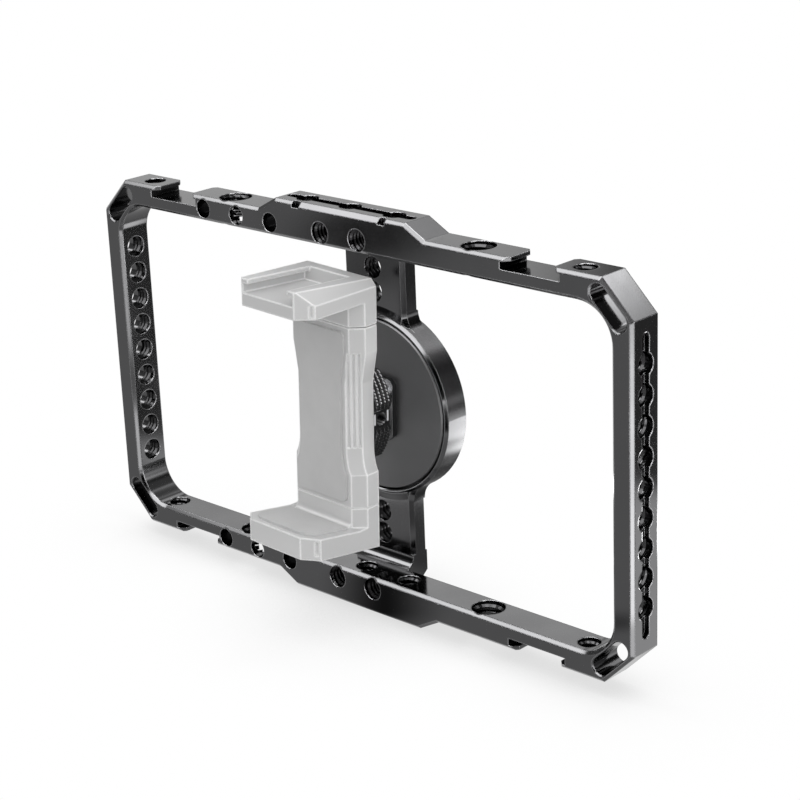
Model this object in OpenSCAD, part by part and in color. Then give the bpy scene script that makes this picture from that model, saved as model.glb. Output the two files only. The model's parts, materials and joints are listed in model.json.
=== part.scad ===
// Phone cage: a machined frame with threaded holes and accessory shoes all round,
// and a sprung phone clamp on a disc that turns in a round housing at its centre.
// Millimetres. X runs along the cage, Z is up and -Y is the side of the phone.
// The origin is the mouth of the tripod thread in the middle of the bottom rail.

/* [Cage frame] */
// Width of the cage
cage_w = 200; // [192:1:230]
// Height of the cage over the two raised middles
cage_h = 118; // [116:1:136]
// Depth of the rails and arms, front to back
rail_d = 11; // [10.6:0.1:13]
// Thickness of the top and bottom rails
rail_t = 7.2; // [7:0.1:8.5]
// Thickness of the two arms
arm_t = 6.8; // [6:0.1:8]
// Size of the cut corners of the outline
corner_cut = 10; // [9:0.5:11]
// Radius in the corners of the window
window_r = 10.7; // [9:0.1:12]
// Bevel on the front edges
edge_front = 0.9; // [0.5:0.1:1.2]
// Bevel on the back edges
edge_back = 0.6; // [0.3:0.1:1]

/* [Raised middles] */
// Height of the raised middle above its rail
hump_rise = 3.8; // [2.5:0.1:5]
// Length of the flat top of the raised middle
hump_top_w = 49.2; // [46:0.2:54]
// Length of the foot of the raised middle
hump_foot_w = 63.2; // [58:0.2:72]
// Distance between the threads in the raised middle
hump_pitch = 16.5; // [15.5:0.1:17]
// Half length of the groove along the top
hump_groove_half = 24; // [21:0.1:24.4]
// Bevel between the two notches of the top front edge
hump_lip = 1.4; // [1:0.1:1.8]
// Distance from the middle to each notch
notch_x = 16.35; // [14:0.1:18]
// Width of a notch
notch_w = 2.7; // [1.5:0.1:3.5]
// Depth of a notch
notch_d = 1.7; // [1:0.1:2]

/* [Threads and holes] */
// Diameter of the quarter inch threads
quarter_d = 6.35; // [5:0.05:6.6]
// Diameter of the three eighths inch threads
three_eighths_d = 9.525; // [8:0.025:9.8]
// Distance from the side of the cage to the corner threads
corner_thread_in = 18.5; // [17.5:0.1:19.5]
// Distance from the middle to the three eighths inch threads
wide_thread_x = 46.3; // [45:0.1:47.5]
// Diameter of the smooth holes in the front of the left half
pin_hole_d = 5.6; // [4.5:0.1:5.8]
// Distance from the middle to the first smooth hole
pin_hole_x = 26.9; // [25:0.1:28]
// Distance between the smooth holes
pin_hole_pitch = 13.85; // [13.2:0.05:13.9]
// Number of smooth holes in each rail
pin_hole_count = 3; // [1:1:3]
// Distance from the middle to the two threads in the front
front_thread_x = 7; // [6.8:0.1:8]
// Depth of the threads in the front
front_thread_deep = 12; // [8:0.5:12.5]
// Distance between the threads in an arm
arm_pitch = 8.27; // [7.6:0.01:8.6]
// Number of threads in an arm
arm_count = 9; // [5:2:9]
// Width of the grooves along the rows of threads
groove_w = 3; // [2:0.1:4]
// Depth of the grooves
groove_d = 1.6; // [0.8:0.1:2.2]
// Half length of the grooves in the arms
arm_groove_half = 41.5; // [38:0.1:42]

/* [Accessory shoes] */
// Distance from the side of the cage to the middle of a shoe
shoe_in = 32.4; // [31.8:0.1:32.6]
// Width between the lips of a shoe
shoe_gap = 14.4; // [13:0.1:15.5]
// Width under the lips of a shoe
shoe_w = 19.6; // [18.6:0.1:20]
// Height under the lips of a shoe
shoe_h = 2.1; // [2:0.1:2.4]
// Thickness of the lips of a shoe
shoe_lip = 1.2; // [1:0.1:1.6]
// Cut corners of the lips of a shoe
shoe_lead = 1.7; // [0.8:0.1:2]

/* [Corner slots] */
// Width of the slot across each corner
slot_w = 5; // [4:0.1:5.3]
// Length of the slot across each corner
slot_l = 13.9; // [11:0.1:15]
// Wall between the slot and the cut corner
slot_wall = 1.2; // [1:0.1:1.5]
// Bevel round the slot
slot_edge = 0.4; // [0.2:0.1:0.6]

/* [Centre plate] */
// Width of the centre plate
plate_w = 22.8; // [22:0.2:28]
// Thickness of the centre plate
plate_t = 5.7; // [4.5:0.1:7]
// Distance of the plate behind the back of the rails
plate_set = 2.1; // [1.6:0.1:2.6]
// Radius between the plate and the rails
plate_fillet = 3.6; // [3:0.1:4]
// Bevel on the front edges of the plate
plate_edge = 1.1; // [0.6:0.1:1.4]
// Height of the slope on the back of the plate's ends
plate_slope = 4.7; // [3:0.1:6]
// Distance from the round housing to the middle of the first thread in the plate
plate_thread_out = 6; // [5.9:0.1:6.9]
// Distance between the threads of each pair in the plate
plate_pitch = 6.9; // [6.7:0.1:7.4]

/* [Round housing] */
// Wall of the round housing round its well
ring_wall = 1.35; // [1.2:0.05:1.75]
// Distance of the housing behind the back of the rails
ring_set = 1; // [0.6:0.1:1.4]
// Distance that the housing stands out behind the plate
ring_proud = 1.8; // [1.2:0.1:2.4]
// Bevel on the front of the housing
ring_edge = 0.8; // [0.4:0.1:1.1]
// Radius between the housing and the plate
ring_fillet = 6; // [4:0.1:7]
// Width of the foot where the housing meets the plate
ring_foot = 2; // [1:0.1:2.4]
// Depth of the well that the disc turns in
well_d = 5; // [4.6:0.1:5.4]
// Thickness of the web behind the well
web_t = 1.75; // [1.4:0.05:2.2]
// Diameter of the bore in the web
web_bore = 24; // [22.6:0.1:25]

/* [Turning disc] */
// Lean of the clamp to the right, as it stands in the photograph, in degrees
disc_turn = 2.3; // [-10:0.1:10]
// Diameter of the turning disc
disc_d = 50.6; // [48:0.1:51]
// Bevel on the edge of the disc
disc_edge = 0.4; // [0.2:0.1:0.8]
// Thickness of the thrust washer
thrust_t = 0.3; // [0.2:0.1:0.6]
// Diameter of the rear flange
flange_d = 31.8; // [30.6:0.1:33]
// Number of screws in the rear flange
flange_screw_count = 4; // [3:1:6]
// Radius of the circle of flange screws
flange_screw_r = 8.5; // [8.3:0.1:9]
// Diameter of the bolt through the disc
bolt_d = 6.2; // [5:0.1:6.4]
// Diameter of the head of the bolt
bolt_head_d = 10; // [8.6:0.1:10.4]
// Height of the head of the bolt
bolt_head_h = 2.1; // [1.6:0.1:2.2]

/* [Toothed block] */
// Height of the toothed block
wheel_h = 26; // [22:0.5:28]
// Width of the toothed block at its middle
wheel_w = 20.8; // [20:0.1:23]
// Radius of its two bulged sides
wheel_bulge_r = 21; // [18:0.5:30]
// Thickness of the toothed block
wheel_t = 6.8; // [6.4:0.1:7]
// Distance between teeth
tooth_pitch = 0.94; // [0.9:0.01:1.3]
// Depth of the teeth
tooth_d = 0.5; // [0.3:0.05:0.7]
// Number of rows of teeth
tooth_rows = 4; // [3:1:5]
// Width of the grooves between the rows
row_gap = 0.42; // [0.3:0.02:0.6]
// Half height of the smooth band in the middle of each side
band_half = 3.9; // [3.6:0.1:5]
// Depth of the hollow in each band
band_d = 0.9; // [0.4:0.1:1]
// Diameter of the radial hole in each band
tommy_d = 3.7; // [3:0.1:4.2]
// Depth of the radial holes
tommy_deep = 5.4; // [3:0.1:5.8]

/* [Adapter plate] */
// Width of the adapter plate on the disc
adapter_w = 16; // [15.6:0.1:20]
// Height of the adapter plate
adapter_h = 18.4; // [18:0.1:22]
// Thickness of the adapter plate
adapter_t = 1.7; // [1.4:0.1:2.2]
// Cut corners of the adapter plate
adapter_cut = 1.6; // [0.8:0.1:1.8]
// Thickness of the spacer between the toothed block and the plate
spacer_t = 2.4; // [1.8:0.1:3]
// Diameter of the spacer
spacer_d = 14.5; // [11:0.1:14.8]

/* [Clamp body] */
// Width of the clamp
clamp_w = 27.8; // [26:0.2:32]
// Thickness of the clamp body
clamp_t = 7.7; // [7.4:0.1:9]
// Cut along the front edges of the body
clamp_edge = 3.2; // [2.4:0.1:3.6]
// Distance from the bolt up to the top joint of the clamp
clamp_up = 30.6; // [29:0.1:34]
// Distance from the bolt down to the bottom joint of the clamp
clamp_down = 22.5; // [21.5:0.1:26]
// Depth of the waist in each side
waist_d = 1.6; // [0.8:0.1:1.8]
// Distance from the bolt down to the curved end of the waist
waist_low = 5; // [3:0.1:6]
// Height of the curved end of the waist
waist_curve = 7.6; // [5:0.1:9]
// Distance from the bolt up to the sloped end of the waist
waist_high = 14; // [12:0.1:16]
// Height of the sloped end of the waist
waist_slope = 9; // [6:0.1:11]
// Width of the grip grooves in the waist
grip_w = 0.7; // [0.5:0.1:0.8]
// Depth of the grip grooves
grip_d = 0.6; // [0.3:0.1:0.9]
// Distance between the grip grooves
grip_pitch = 1.5; // [1.3:0.1:1.6]
// Number of grip grooves in each cut edge
grip_count = 3; // [2:1:3]
// Thickness of the washer behind the clamp
clamp_washer_t = 2.3; // [1.8:0.1:3]
// Diameter of the washer behind the clamp
clamp_washer_d = 18; // [12:0.5:20]

/* [Rubber pads] */
// Thickness of the pad on the clamp body
pad_t = 1; // [0.6:0.1:1.4]
// Distance from the edge of the front to the pad
pad_in = 1.3; // [0.8:0.1:2]
// Distance from the joints of the body to the pad
pad_end = 1.6; // [1:0.1:3]
// Thickness of the pad on the lower jaw
low_pad_t = 0.8; // [0.5:0.1:1.6]
// Distance from the sides of the lower jaw to its pad
low_pad_in = 2.7; // [1.5:0.1:4]
// Distance from the tip of the lower jaw to its pad
low_pad_front = 1.9; // [1:0.1:3]
// Radius in the front corners of the pad on the lower jaw
low_pad_r = 4.5; // [3.5:0.1:6]
// Height that the pad of the upper jaw stands out
up_pad_out = 0.6; // [0.4:0.1:1]
// Depth of the recess for the pad of the upper jaw
up_pad_deep = 1; // [0.6:0.1:1.4]
// Distance from the edges of the upper jaw to its pad
up_pad_in = 2.5; // [2:0.1:4]

/* [Clamp jaws] */
// Distance that the jaws reach out from the back of the clamp
jaw_l = 27.2; // [26:0.1:32]
// Cut corners at the tips of the jaws
jaw_cut = 4; // [3:0.1:5]
// Height of the wall under the upper jaw
up_wall_h = 6.8; // [5.6:0.1:9]
// Radius between a wall and its jaw
jaw_fillet = 1.5; // [1:0.1:2.5]
// Height of the upper jaw at its tip
up_tip_h = 7.8; // [7.2:0.1:9]
// Height of the upper jaw at its back
up_back_h = 5.8; // [5.6:0.1:7]
// Height of the upright side of the upper jaw
up_side_h = 3.9; // [3.4:0.1:4.4]
// Width over the rim of the shoe on the upper jaw
rim_w = 20.6; // [20.4:0.1:22]
// Width between the lips of the shoe on the upper jaw
top_gap = 15; // [14:0.1:15.4]
// Width under the lips of the shoe on the upper jaw
top_shoe_w = 18.8; // [18.6:0.1:19.2]
// Depth of the shoe below its rim
top_shoe_d = 4.1; // [3.6:0.1:4.3]
// Thickness of the lips of the shoe on the upper jaw
top_lip = 1.4; // [1:0.1:1.6]
// Thickness of the stop behind the shoe on the upper jaw
top_stop = 3.7; // [3:0.1:5]
// Height of the wall down to the lower jaw
low_wall_h = 5.9; // [5:0.1:8]
// Rise of the top of the lower jaw out to its tip
low_rise = 3.4; // [2.6:0.1:4]
// Height of the lower jaw at its tip
low_tip_h = 6.6; // [5.6:0.1:8]
// Height of the whole lower jaw piece at its back
low_back_h = 13.2; // [12.6:0.1:16]
// Width of the small upright grooves in the tips of the jaws
tip_groove_w = 1.1; // [0.5:0.1:1.4]
// Depth of the small upright grooves
tip_groove_d = 0.5; // [0.2:0.1:0.6]

/* [Guide rods] */
// Diameter of the guide rods
rod_d = 4; // [3.4:0.1:4.2]
// Distance between the guide rods
rod_gap = 12.4; // [12:0.1:14]
// Length of a guide rod below the top joint
rod_l = 45.6; // [44:0.1:46.5]
// Depth that a guide rod reaches into the upper jaw
rod_seat = 8; // [6:0.1:8.5]
// Diameter of the screws of the jaws
jaw_screw_d = 3; // [2.5:0.1:3.2]
// Diameter of the heads of the screws of the lower jaw
jaw_screw_head_d = 5.2; // [4.6:0.1:5.6]

/* [Hidden] */
$fn = 64;
// Overrun of every cut
over = 1;
// Air between pieces that move on each other
run_gap = 0.3;
// Air round a shaft or a screw in its bore
fit = 0.05;

// Half sizes and heights of the frame
half_w = cage_w / 2;
half_h = cage_h / 2;
rail_z = half_h - hump_rise;
win_x = half_w - arm_t;
win_z = rail_z - rail_t;
corner_x = win_x - window_r;
corner_z = win_z - window_r;
mid_y = rail_d / 2;
cut_away = (half_w + rail_z - corner_cut) * sin(45);
hump_lean = atan2(hump_rise, (hump_foot_w - hump_top_w) / 2);
hump_away = hump_top_w / 2 * sin(hump_lean) + half_h * cos(hump_lean);
hump_root = hump_foot_w / 2 + hump_rise;
hole_z = rail_z - rail_t / 2;
thread_r = quarter_d / 2;
wide_r = three_eighths_d / 2;
slot_r = slot_w / 2;
slot_half = (slot_l - slot_w) / 2;
slot_x = half_w - corner_cut / 2 - (slot_wall + slot_r) * sin(45);
slot_z = rail_z - corner_cut / 2 - (slot_wall + slot_r) * sin(45);

// Planes of the plate, the housing and the disc, from the front of the rails
plate_y = rail_d + plate_set;
plate_back = plate_y + plate_t;
plate_x = plate_w / 2;
fillet_y = plate_y - plate_fillet;
fillet_z = win_z - plate_fillet;
disc_r = disc_d / 2;
well_r = disc_r + run_gap * 1.5;
ring_r = well_r + ring_wall;
ring_y = rail_d + ring_set;
ring_back = plate_back + ring_proud;
well_y = ring_y + well_d;
web_y = well_y + web_t;
flange_r = flange_d / 2;
flange_well_r = flange_r + run_gap;
web_r = web_bore / 2;
hub_r = web_r - fit;
// Centre of the fillet between housing and plate, and where it meets the housing
flare_x = plate_x + ring_fillet;
flare_z = sqrt((ring_r + ring_fillet) * (ring_r + ring_fillet) - flare_x * flare_x);
flare_share = ring_r / (ring_r + ring_fillet);
foot_h = ring_foot / 4;
plate_thread_z = ring_r + plate_thread_out;

// Stack along the bolt
disc_y = ring_y;
disc_back = well_y - thrust_t - run_gap;
hub_back = web_y + run_gap;
flange_back = ring_back - fit * 2;
flange_t = flange_back - hub_back;
bolt_r = bolt_d / 2;
bolt_bore = bolt_r + fit;
head_r = bolt_head_d / 2;
head_well_r = head_r + run_gap * 2;
bolt_washer_t = 0.8;
washer_back = flange_back - fit * 2 - bolt_head_h;
washer_y = washer_back - bolt_washer_t;
adapter_y = disc_y - adapter_t;
spacer_y = adapter_y - spacer_t;
wheel_back = spacer_y - run_gap;
wheel_y = wheel_back - wheel_t;
clamp_washer_back = wheel_y - run_gap;
clamp_back = clamp_washer_back - clamp_washer_t;
clamp_y = clamp_back - clamp_t;
bolt_tip = clamp_y + 2;
small_screw_r = 1.25;
small_head_r = 2.1;
small_screw_l = 4;
socket_share = 0.55;

// Outline of the toothed block
wheel_x = wheel_w / 2;
bulge_off = wheel_bulge_r - wheel_x;
wheel_top = wheel_h / 2;
quarter_teeth = floor((wheel_top - band_half) / tooth_pitch);
front_land = 0.7;
row_pitch = (wheel_t - front_land) / tooth_rows;
row_deep = tooth_d + 0.15;
land_in = 0.25;
wheel_edge = 0.5;
tooth_tip_share = 0.36;
band_rim = 0.4;
band_flat = band_half - band_rim - band_d;

// Clamp
clamp_x = clamp_w / 2;
side_y = clamp_y + clamp_edge;
front_x = clamp_x - clamp_edge;
body_top = clamp_up - run_gap / 2;
jaw_bottom = clamp_up + run_gap / 2;
waist_core_y = clamp_back - clamp_t / 2;
up_jaw_z = clamp_up + up_wall_h;
tip_y = clamp_back - jaw_l;
cut_y = tip_y + jaw_cut;
tip_x = clamp_x - jaw_cut;
rim_tip_z = up_jaw_z + up_tip_h;
rim_back_z = up_jaw_z + up_back_h;
rim_x = rim_w / 2;
rim_lean = atan2(up_tip_h - up_back_h, jaw_l);
side_z = up_jaw_z + up_side_h;
low_z = -clamp_down;
low_jaw_z = low_z - low_wall_h;
low_lean = atan2(low_rise, clamp_y - tip_y);
low_fillet = jaw_fillet * 1.4;
low_tip_top = low_jaw_z + low_rise;
low_tip_bottom = low_tip_top - low_tip_h;
low_bottom = low_z - low_back_h;
rod_r = rod_d / 2;
rod_bore = rod_r + fit;
rod_x = rod_gap / 2;
rod_y = waist_core_y;
rod_end = clamp_up - rod_l;
rod_bore_end = rod_end - run_gap * 2;
jaw_screw_r = jaw_screw_d / 2;
jaw_head_r = jaw_screw_head_d / 2;
jaw_head_h = 2.4;
jaw_screw_reach = 5;
jaw_screw_top = low_z + jaw_screw_reach;
grub_z = clamp_up + up_wall_h / 2;
grub_r = 1.5;
pad_x = front_x - pad_in;
grip_first_share = 0.45;
pad_r = 1.6;
up_pad_x = clamp_x - up_pad_in;

// From the middle of the cage to the origin at the tripod thread
module placed() {
    translate([0, -mid_y, half_h]) children();
}

// Pieces that turn with the disc
module turned() {
    placed() rotate([0, disc_turn, 0]) children();
}

// A profile in Y and Z, drawn out along X
module across(x0, x1) {
    translate([x0, 0, 0]) rotate([90, 0, 90]) linear_extrude(x1 - x0) children();
}

// A profile in X and Z, drawn out along Y
module along(y0, y1) {
    translate([0, y1, 0]) rotate([90, 0, 0]) linear_extrude(y1 - y0) children();
}

// A profile in X and Y, drawn out along Z
module upright(z0, z1) {
    translate([0, 0, z0]) linear_extrude(z1 - z0) children();
}

// A round bar or cone along Y
module round_y(r0, r1, y0, y1) {
    translate([0, y0, 0]) rotate([-90, 0, 0]) cylinder(h = y1 - y0, r1 = r0, r2 = r1);
}

// A round bar along X
module round_x(r, x0, x1) {
    translate([x0, 0, 0]) rotate([0, 90, 0]) cylinder(h = x1 - x0, r = r);
}

// A round bar along Z
module round_z(r, z0, z1) {
    translate([0, 0, z0]) cylinder(h = z1 - z0, r = r);
}

// A revolved profile of radius and depth, turned to run along Y
module revolved_y() {
    rotate([-90, 0, 0]) rotate_extrude() children();
}

// Copies in the two halves of the width and of the height
module four_ways() {
    for (sx = [0, 1]) mirror([sx, 0, 0])
        for (sz = [0, 1]) mirror([0, 0, sz])
            children();
}

module two_ways_x() {
    for (sx = [0, 1]) mirror([sx, 0, 0]) children();
}

module two_ways_z() {
    for (sz = [0, 1]) mirror([0, 0, sz]) children();
}

// A bar with bevelled edges as deep as the rails
module bevelled_bar(half, reach, lean) {
    back = rail_d;
    rotate([0, lean, 0]) across(-reach, reach)
        polygon([[0, edge_front - half], [0, half - edge_front], [edge_front, half],
                 [back - edge_back, half], [back, half - edge_back],
                 [back, edge_back - half], [back - edge_back, -half], [edge_front, -half]]);
}

// A cut through the rails that widens at both mouths
module flared_bar(half, reach, lean) {
    front = half + edge_front + over;
    back = half + edge_back + over;
    rotate([0, lean, 0]) across(-reach, reach)
        polygon([[-over, -front], [-over, front], [edge_front, half], [rail_d - edge_back, half],
                 [rail_d + over, back], [rail_d + over, -back], [rail_d - edge_back, -half],
                 [edge_front, -half]]);
}

module flared_bore(r) {
    round_y(r, r, -over, rail_d + over);
    round_y(r + edge_front + over, r, -over, edge_front);
    round_y(r, r + edge_back + over, rail_d - edge_back, rail_d + over);
}

// Outline of the frame with its raised middles
module frame_block() {
    intersection() {
        bevelled_bar(rail_z, cage_w, 0);
        bevelled_bar(half_w, cage_w, 90);
        bevelled_bar(cut_away, cage_w, 45);
        bevelled_bar(cut_away, cage_w, -45);
    }
    intersection() {
        bevelled_bar(half_h, hump_root, 0);
        bevelled_bar(hump_away, cage_w, hump_lean);
        bevelled_bar(hump_away, cage_w, -hump_lean);
    }
}

module window() {
    flared_bar(win_z, corner_x, 0);
    flared_bar(win_x, corner_z, 90);
    four_ways() translate([corner_x, 0, corner_z]) flared_bore(window_r);
}

// An accessory shoe in the outer face of a rail
module shoe() {
    gap = shoe_gap / 2;
    lead = gap + shoe_lead + over;
    lip_z = rail_z - shoe_lip;
    translate([-shoe_w / 2, -over, lip_z - shoe_h]) cube([shoe_w, rail_d + over * 2, shoe_h]);
    upright(lip_z - shoe_h / 2, rail_z + over)
        polygon([[-lead, -over], [lead, -over], [gap, shoe_lead], [gap, rail_d - shoe_lead],
                 [lead, rail_d + over], [-lead, rail_d + over], [-gap, rail_d - shoe_lead],
                 [-gap, shoe_lead]]);
}

// The slot across a corner
module corner_slot() {
    translate([slot_x, 0, slot_z]) rotate([0, 45, 0]) {
        wide = slot_r + slot_edge + over;
        two_ways_x() translate([slot_half, 0, 0]) {
            round_y(slot_r, slot_r, -over, rail_d + over);
            round_y(wide, slot_r, -over, slot_edge);
            round_y(slot_r, wide, rail_d - slot_edge, rail_d + over);
        }
        across(-slot_half, slot_half)
            polygon([[-over, -wide], [-over, wide], [slot_edge, slot_r],
                     [rail_d - slot_edge, slot_r], [rail_d + over, wide], [rail_d + over, -wide],
                     [rail_d - slot_edge, -slot_r], [slot_edge, -slot_r]]);
    }
}

// A groove with round ends, sunk from the plane z = 0
module groove(half) {
    r = groove_w / 2;
    reach = half - r;
    translate([-reach, -r, -groove_d]) cube([reach * 2, groove_w, groove_d + over]);
    two_ways_x() translate([reach, 0, 0]) round_z(r, -groove_d, over);
}

module rail_threads() {
    translate([0, mid_y, 0]) two_ways_z() {
        for (i = [-1 : 1]) translate([i * hump_pitch, 0, 0])
            round_z(thread_r, win_z - over, half_h + over);
        two_ways_x() {
            translate([half_w - corner_thread_in, 0, 0])
                round_z(thread_r, win_z - over, half_h + over);
            translate([wide_thread_x, 0, 0]) round_z(wide_r, win_z - over, half_h + over);
        }
    }
}

module arm_threads() {
    for (i = [0 : arm_count - 1])
        translate([0, mid_y, (i - (arm_count - 1) / 2) * arm_pitch])
            two_ways_x() round_x(thread_r, win_x - over, half_w + over);
}

module front_holes() {
    two_ways_z() translate([0, 0, hole_z]) {
        for (i = [0 : pin_hole_count - 1])
            translate([-pin_hole_x - i * pin_hole_pitch, 0, 0])
                round_y(pin_hole_d / 2, pin_hole_d / 2, -over, rail_d + over);
        two_ways_x() translate([front_thread_x, 0, 0])
            round_y(thread_r, thread_r, -over, front_thread_deep);
    }
}

// Bevel, notches and groove of the upper raised middle
module hump_details() {
    clear = notch_x - notch_w / 2;
    across(-clear, clear)
        polygon([[-over, half_h - hump_lip - over], [hump_lip + over, half_h + over],
                 [-over, half_h + over]]);
    two_ways_x() translate([clear, -over, half_h - notch_d])
        cube([notch_w, notch_d + over, notch_d + over]);
    translate([0, mid_y, half_h]) groove(hump_groove_half);
}

module centre_plate() {
    // middle with bevelled edges
    upright(-fillet_z, fillet_z)
        polygon([[plate_edge - plate_x, plate_y], [plate_x - plate_edge, plate_y],
                 [plate_x, plate_y + plate_edge], [plate_x, plate_back - edge_back],
                 [plate_x - edge_back, plate_back], [edge_back - plate_x, plate_back],
                 [-plate_x, plate_back - edge_back], [-plate_x, plate_y + plate_edge]]);
    // ends behind the rails, with the fillet into the rail and the slope at the back
    two_ways_z() difference() {
        across(-plate_x, plate_x)
            polygon([[fillet_y, fillet_z], [plate_back, fillet_z],
                     [plate_back, rail_z - plate_slope], [plate_y, rail_z], [fillet_y, rail_z]]);
        translate([0, fillet_y, fillet_z]) round_x(plate_fillet, -plate_x - over, plate_x + over);
    }
    // flares into the housing
    four_ways() difference() {
        along(plate_y, plate_back)
            polygon([[plate_x / 2, flare_z], [flare_x, flare_z],
                     [flare_x * flare_share, flare_z * flare_share],
                     [plate_x / 2, flare_z * flare_share]]);
        translate([flare_x, 0, flare_z]) {
            round_y(ring_fillet, ring_fillet, plate_y - over, plate_back + over);
            round_y(ring_fillet + plate_edge + over, ring_fillet, plate_y - over,
                    plate_y + plate_edge);
        }
    }
    // foot of the housing on the plate
    intersection() {
        round_y(ring_r, ring_r + ring_foot, plate_y - foot_h, plate_y);
        upright(-ring_r * 2, ring_r * 2)
            polygon([[plate_edge - plate_x, ring_y], [plate_x - plate_edge, ring_y],
                     [plate_x - plate_edge, plate_back], [plate_edge - plate_x, plate_back]]);
    }
}

module housing() {
    lead = edge_back / 2;
    revolved_y()
        polygon([[web_r, well_y], [well_r, well_y], [well_r, ring_y + lead],
                 [well_r + lead, ring_y], [ring_r - ring_edge, ring_y],
                 [ring_r, ring_y + ring_edge], [ring_r, ring_back - edge_back],
                 [ring_r - edge_back, ring_back], [flange_well_r, ring_back],
                 [flange_well_r, web_y], [web_r, web_y]]);
}

module plate_threads() {
    two_ways_z() for (i = [0, 1])
        translate([0, 0, plate_thread_z + i * plate_pitch])
            round_y(thread_r, thread_r, plate_y - over, plate_back + over);
}

module cage_frame() {
    color("#2b2b2d") placed() {
        difference() {
            union() {
                difference() {
                    frame_block();
                    window();
                }
                difference() {
                    centre_plate();
                    round_y((well_r + ring_r) / 2, (well_r + ring_r) / 2, 0,
                            ring_back + over);
                }
                housing();
            }
            two_ways_z() two_ways_x() translate([half_w - shoe_in, 0, 0]) shoe();
            four_ways() corner_slot();
            two_ways_x() translate([half_w, mid_y, 0]) rotate([0, 90, 0]) groove(arm_groove_half);
            hump_details();
            rail_threads();
            arm_threads();
            front_holes();
            plate_threads();
        }
    }
}

module thrust_washer() {
    color("#c9c4b4") placed() difference() {
        round_y(disc_r - disc_edge * 2, disc_r - disc_edge * 2, well_y - thrust_t, well_y);
        round_y(web_r + over, web_r + over, well_y - thrust_t * 2, well_y + thrust_t);
    }
}

// A countersunk screw whose head is flush with the plane y = 0
module countersunk(long) {
    difference() {
        union() {
            round_y(small_screw_r, small_screw_r, -long, -small_screw_r / 2);
            round_y(small_screw_r, small_head_r, small_screw_r - small_head_r - fit, -fit);
        }
        translate([0, -small_screw_r / 2, 0]) rotate([-90, 0, 0])
            cylinder(h = over, r = small_screw_r * socket_share, $fn = 6);
    }
}

module countersink(long) {
    round_y(small_screw_r + fit, small_screw_r + fit, -long - fit, 0);
    round_y(small_screw_r + fit, small_head_r + fit + over, small_screw_r - small_head_r - fit,
            over);
}

module flange_screw_places() {
    for (i = [0 : flange_screw_count - 1]) rotate([0, (i + 0.5) * 360 / flange_screw_count, 0])
        translate([0, flange_back, flange_screw_r]) children();
}

module turn_disc() {
    color("#232325") turned() difference() {
        revolved_y()
            polygon([[0, disc_y], [disc_r - disc_edge, disc_y], [disc_r, disc_y + disc_edge],
                     [disc_r, disc_back - disc_edge], [disc_r - disc_edge, disc_back],
                     [hub_r, disc_back], [hub_r, hub_back], [0, hub_back]]);
        round_y(bolt_bore, bolt_bore, disc_y - over, hub_back + over);
        round_y(head_well_r, head_well_r, washer_y, hub_back + over);
        flange_screw_places() countersink(small_screw_l);
        plate_screw_places() rotate([180, 0, 0]) countersink(small_screw_l);
    }
}

module rear_flange() {
    color("#38383b") turned() difference() {
        revolved_y()
            polygon([[head_well_r, hub_back], [flange_r, hub_back],
                     [flange_r, flange_back - disc_edge], [flange_r - disc_edge, flange_back],
                     [head_well_r, flange_back]]);
        flange_screw_places() countersink(small_screw_l);
    }
}

module flange_screws() {
    color("#7c7c80") turned() flange_screw_places() countersunk(small_screw_l);
}

module pivot_bolt() {
    bevel = bolt_d / 12;
    color("#8c8c90") turned() difference() {
        revolved_y()
            polygon([[0, bolt_tip], [bolt_r - bevel, bolt_tip], [bolt_r, bolt_tip + bevel],
                     [bolt_r, washer_back], [head_r, washer_back],
                     [head_r, washer_back + bolt_head_h - bevel],
                     [head_r - bevel, washer_back + bolt_head_h],
                     [0, washer_back + bolt_head_h]]);
        translate([0, washer_back + bolt_head_h * 0.3, 0]) rotate([-90, 0, 0])
            cylinder(h = bolt_head_h, r = head_r * socket_share, $fn = 6);
    }
}

module bolt_washer() {
    color("#a9a9ad") turned() difference() {
        round_y(head_well_r - fit, head_well_r - fit, washer_y, washer_back);
        round_y(bolt_bore, bolt_bore, washer_y - over, washer_back + over);
    }
}

module plate_screw_places() {
    for (i = [0, 1]) rotate([0, i * 180, 0])
        translate([adapter_w / 2 - small_head_r, adapter_y, adapter_h / 2 - small_head_r])
            children();
}

module adapter_plate() {
    x = adapter_w / 2;
    z = adapter_h / 2;
    cut = adapter_cut;
    color("#1f1f21") turned() difference() {
        along(adapter_y, disc_y)
            polygon([[x - cut, -z], [x, cut - z], [x, z - cut], [x - cut, z], [cut - x, z],
                     [-x, z - cut], [-x, cut - z], [cut - x, -z]]);
        round_y(bolt_bore, bolt_bore, adapter_y - over, disc_y + over);
        plate_screw_places() rotate([180, 0, 0]) countersink(small_screw_l);
    }
}

module plate_screws() {
    color("#7c7c80") turned() plate_screw_places() rotate([180, 0, 0])
        countersunk(small_screw_l);
}

module wheel_washer() {
    color("#9b9b9f") turned() difference() {
        round_y(spacer_d / 2, spacer_d / 2, spacer_y, adapter_y);
        round_y(bolt_bore, bolt_bore, spacer_y - over, adapter_y + over);
    }
}

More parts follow.
